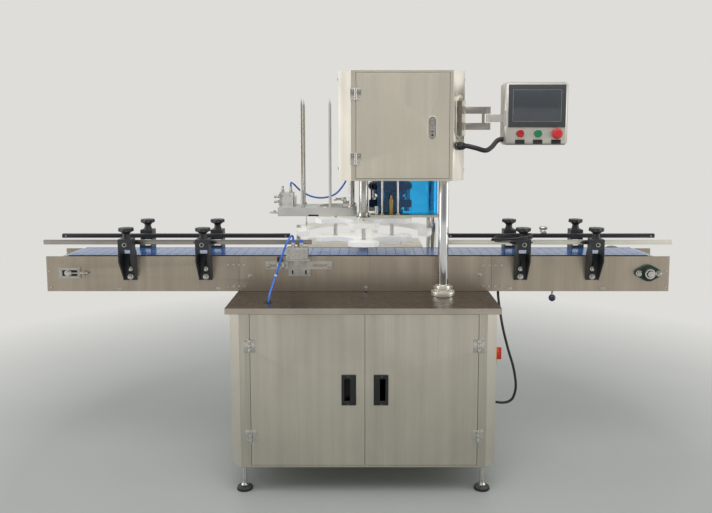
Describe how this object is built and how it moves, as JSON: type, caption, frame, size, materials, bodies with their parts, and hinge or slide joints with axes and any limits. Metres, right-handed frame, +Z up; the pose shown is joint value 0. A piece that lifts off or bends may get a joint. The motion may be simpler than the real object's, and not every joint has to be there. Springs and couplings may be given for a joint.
{
  "type": "can sealing machine",
  "caption": "Automatic can seamer: steel cabinet, slat conveyor with guide rails, star wheel, lid magazine, seaming head under a box on columns and a swing control panel.",
  "frame": {"origin": "on the floor under the middle of the table, half way along the conveyor", "axes": "+X along the conveyor, the way the cans run; +Y away from the operator; +Z up"},
  "size_m": [2.496, 0.8, 1.567],
  "materials": {
    "cabinet_shell": "brushed stainless",
    "table_top": "dark reflective stainless",
    "foot_front_left": "polished",
    "foot_front_right": "polished",
    "foot_back_left": "polished",
    "foot_back_right": "polished",
    "door_left": "brushed stainless",
    "door_right": "brushed stainless",
    "pull_left": "matte black",
    "pull_right": "matte black",
    "main_switch": "glossy red",
    "conveyor_panel_front": "brushed stainless",
    "conveyor_panel_back": "brushed stainless",
    "conveyor_bed": "brushed stainless",
    "slat_chain": "glossy deep blue",
    "drive_shaft": "polished",
    "tail_shaft": "polished",
    "bearing_flange": "dark green paint",
    "conveyor_motor": "satin cream",
    "guide_rail_front_left": "brushed stainless",
    "guide_rail_front_right": "brushed stainless",
    "guide_rail_back_left": "brushed stainless",
    "guide_rail_back_right": "brushed stainless",
    "stopper_mount": "brushed stainless",
    "stopper_cylinder": "brushed stainless",
    "stopper_rod": "polished",
    "star_wheel": "translucent white, satin",
    "transfer_plate": "brushed stainless",
    "lift_plate": "polished",
    "star_guide": "translucent white, satin",
    "column_front": "polished",
    "column_rear": "polished",
    "head_housing": "brushed stainless",
    "head_door": "brushed stainless",
    "head_latch": "polished",
    "seaming_head": "dark reflective stainless",
    "seaming_roller_1": "polished",
    "seaming_roller_2": "polished",
    "lid_magazine": "translucent white, satin",
    "lid_pusher": "polished",
    "guard_panel": "clear blue",
    "guard_shelf": "brushed stainless",
    "control_arm": "polished",
    "control_box": "satin cream",
    "button_red": "glossy red",
    "button_green": "glossy green",
    "button_stop": "glossy red",
    "control_cable": "matte black",
    "air_hose_lower": "glossy blue",
    "air_hose_upper": "glossy blue",
    "motor_cable": "matte black",
    "sensor_cable": "matte black",
    "rail_bracket_front_1": "matte black",
    "rail_bracket_front_2": "matte black",
    "rail_bracket_front_3": "matte black",
    "rail_bracket_front_4": "matte black",
    "rail_bracket_back_1": "matte black",
    "rail_bracket_back_2": "matte black",
    "rail_bracket_back_3": "matte black",
    "rail_bracket_back_4": "matte black"
  },
  "bodies": {
    "frame_body": {"cabinet_shell": "cabinet_shell", "table_top": "table_top", "foot_front_left": "foot_front_left", "foot_front_right": "foot_front_right", "foot_back_left": "foot_back_left", "foot_back_right": "foot_back_right", "conveyor_panel_front": "conveyor_panel_front", "conveyor_panel_back": "conveyor_panel_back", "conveyor_bed": "conveyor_bed", "slat_chain": "slat_chain", "bearing_flange": "bearing_flange", "conveyor_motor": "conveyor_motor", "stopper_mount": "stopper_mount", "stopper_cylinder": "stopper_cylinder", "transfer_plate": "transfer_plate", "star_guide": "star_guide", "column_front": "column_front", "column_rear": "column_rear", "head_housing": "head_housing", "lid_magazine": "lid_magazine", "guard_panel": "guard_panel", "guard_shelf": "guard_shelf", "air_hose_lower": "air_hose_lower", "air_hose_upper": "air_hose_upper", "motor_cable": "motor_cable", "sensor_cable": "sensor_cable", "rail_bracket_front_1": "rail_bracket_front_1", "rail_bracket_front_2": "rail_bracket_front_2", "rail_bracket_front_3": "rail_bracket_front_3", "rail_bracket_front_4": "rail_bracket_front_4", "rail_bracket_back_1": "rail_bracket_back_1", "rail_bracket_back_2": "rail_bracket_back_2", "rail_bracket_back_3": "rail_bracket_back_3", "rail_bracket_back_4": "rail_bracket_back_4"},
    "door_left_body": {"door_left": "door_left", "pull_left": "pull_left"},
    "door_right_body": {"door_right": "door_right", "pull_right": "pull_right"},
    "switch_body": {"main_switch": "main_switch"},
    "drive_body": {"drive_shaft": "drive_shaft"},
    "tail_body": {"tail_shaft": "tail_shaft"},
    "rail_front_left_body": {"guide_rail_front_left": "guide_rail_front_left"},
    "rail_front_right_body": {"guide_rail_front_right": "guide_rail_front_right"},
    "rail_back_left_body": {"guide_rail_back_left": "guide_rail_back_left"},
    "rail_back_right_body": {"guide_rail_back_right": "guide_rail_back_right"},
    "stopper_body": {"stopper_rod": "stopper_rod"},
    "star_body": {"star_wheel": "star_wheel"},
    "seamer_body": {"seaming_head": "seaming_head"},
    "roller_1_body": {"seaming_roller_1": "seaming_roller_1"},
    "roller_2_body": {"seaming_roller_2": "seaming_roller_2"},
    "lift_body": {"lift_plate": "lift_plate"},
    "pusher_body": {"lid_pusher": "lid_pusher"},
    "head_door_body": {"head_door": "head_door"},
    "latch_body": {"head_latch": "head_latch"},
    "arm_body": {"control_arm": "control_arm", "control_cable": "control_cable"},
    "box_body": {"control_box": "control_box"},
    "button_red_body": {"button_red": "button_red"},
    "button_green_body": {"button_green": "button_green"},
    "button_stop_body": {"button_stop": "button_stop"}
  },
  "joints": [
    {"name": "door_left_hinge", "type": "hinge", "parent": "frame_body", "child": "door_left_body", "pos_m": [-0.392, -0.3903, 0.4], "axis": [0, 0, 1], "range_deg": [-105, 0]},
    {"name": "door_right_hinge", "type": "hinge", "parent": "frame_body", "child": "door_right_body", "pos_m": [0.443, -0.3903, 0.4], "axis": [0, 0, 1], "range_deg": [0, 105]},
    {"name": "main_switch_turn", "type": "hinge", "parent": "frame_body", "child": "switch_body", "pos_m": [0.5173, -0.31, 0.515], "axis": [1, 0, 0], "range_deg": [0, 90]},
    {"name": "drive_shaft_spin", "type": "hinge", "parent": "frame_body", "child": "drive_body", "pos_m": [1.15253, 0, 0.78298], "axis": [0, 1, 0], "continuous": true},
    {"name": "tail_shaft_spin", "type": "hinge", "parent": "frame_body", "child": "tail_body", "pos_m": [-1.15253, 0, 0.78298], "axis": [0, 1, 0], "continuous": true},
    {"name": "rail_front_left_set", "type": "slide", "parent": "frame_body", "child": "rail_front_left_body", "axis": [0, 1, 0], "range_m": [-0.01, 0.03]},
    {"name": "rail_front_right_set", "type": "slide", "parent": "frame_body", "child": "rail_front_right_body", "axis": [0, 1, 0], "range_m": [-0.01, 0.03]},
    {"name": "rail_back_left_set", "type": "slide", "parent": "frame_body", "child": "rail_back_left_body", "axis": [0, 1, 0], "range_m": [-0.03, 0.01]},
    {"name": "rail_back_right_set", "type": "slide", "parent": "frame_body", "child": "rail_back_right_body", "axis": [0, 1, 0], "range_m": [-0.03, 0.01]},
    {"name": "stopper_slide", "type": "slide", "parent": "frame_body", "child": "stopper_body", "axis": [0, 1, 0], "range_m": [0, 0.045]},
    {"name": "star_spin", "type": "hinge", "parent": "frame_body", "child": "star_body", "pos_m": [0.022, 0.1, 0.9], "axis": [0, 0, 1], "continuous": true},
    {"name": "seamer_spin", "type": "hinge", "parent": "frame_body", "child": "seamer_body", "pos_m": [0.13867, 0.21667, 1.1], "axis": [0, 0, 1], "continuous": true},
    {"name": "roller_1_spin", "type": "hinge", "parent": "seamer_body", "child": "roller_1_body", "pos_m": [0.06017, 0.21667, 1], "axis": [0, 0, 1], "continuous": true},
    {"name": "roller_2_spin", "type": "hinge", "parent": "seamer_body", "child": "roller_2_body", "pos_m": [0.21717, 0.21667, 1], "axis": [0, 0, 1], "continuous": true},
    {"name": "lift_slide", "type": "slide", "parent": "frame_body", "child": "lift_body", "axis": [0, 0, 1], "range_m": [0, 0.012]},
    {"name": "pusher_slide", "type": "slide", "parent": "frame_body", "child": "pusher_body", "axis": [1, 0, 0], "range_m": [0, 0.03]},
    {"name": "head_door_hinge", "type": "hinge", "parent": "frame_body", "child": "head_door_body", "pos_m": [-0.006, -0.2603, 1.36], "axis": [0, 0, 1], "range_deg": [-105, 0]},
    {"name": "latch_turn", "type": "hinge", "parent": "head_door_body", "child": "latch_body", "pos_m": [0.278, -0.255, 1.328], "axis": [1, 0, 0], "range_deg": [0, 45]},
    {"name": "arm_swing", "type": "hinge", "parent": "frame_body", "child": "arm_body", "pos_m": [0.39385, -0.24585, 1.39], "axis": [0, 0, 1], "range_deg": [-30, 30], "deforming": ["control_cable"]},
    {"name": "box_swing", "type": "hinge", "parent": "arm_body", "child": "box_body", "pos_m": [0.48685, -0.24585, 1.39], "axis": [0, 0, 1], "range_deg": [-45, 30], "deforming": ["control_cable"]},
    {"name": "button_red_press", "type": "slide", "parent": "box_body", "child": "button_red_body", "axis": [0, 1, 0], "range_m": [0, 0.004], "stiffness_N_per_m": 400},
    {"name": "button_green_press", "type": "slide", "parent": "box_body", "child": "button_green_body", "axis": [0, 1, 0], "range_m": [0, 0.004], "stiffness_N_per_m": 400},
    {"name": "button_stop_press", "type": "slide", "parent": "box_body", "child": "button_stop_body", "axis": [0, 1, 0], "range_m": [0, 0.005], "stiffness_N_per_m": 600}
  ],
  "couplings": [
    {"joint": "tail_shaft_spin", "follows": "drive_shaft_spin", "ratio": 1}
  ]
}
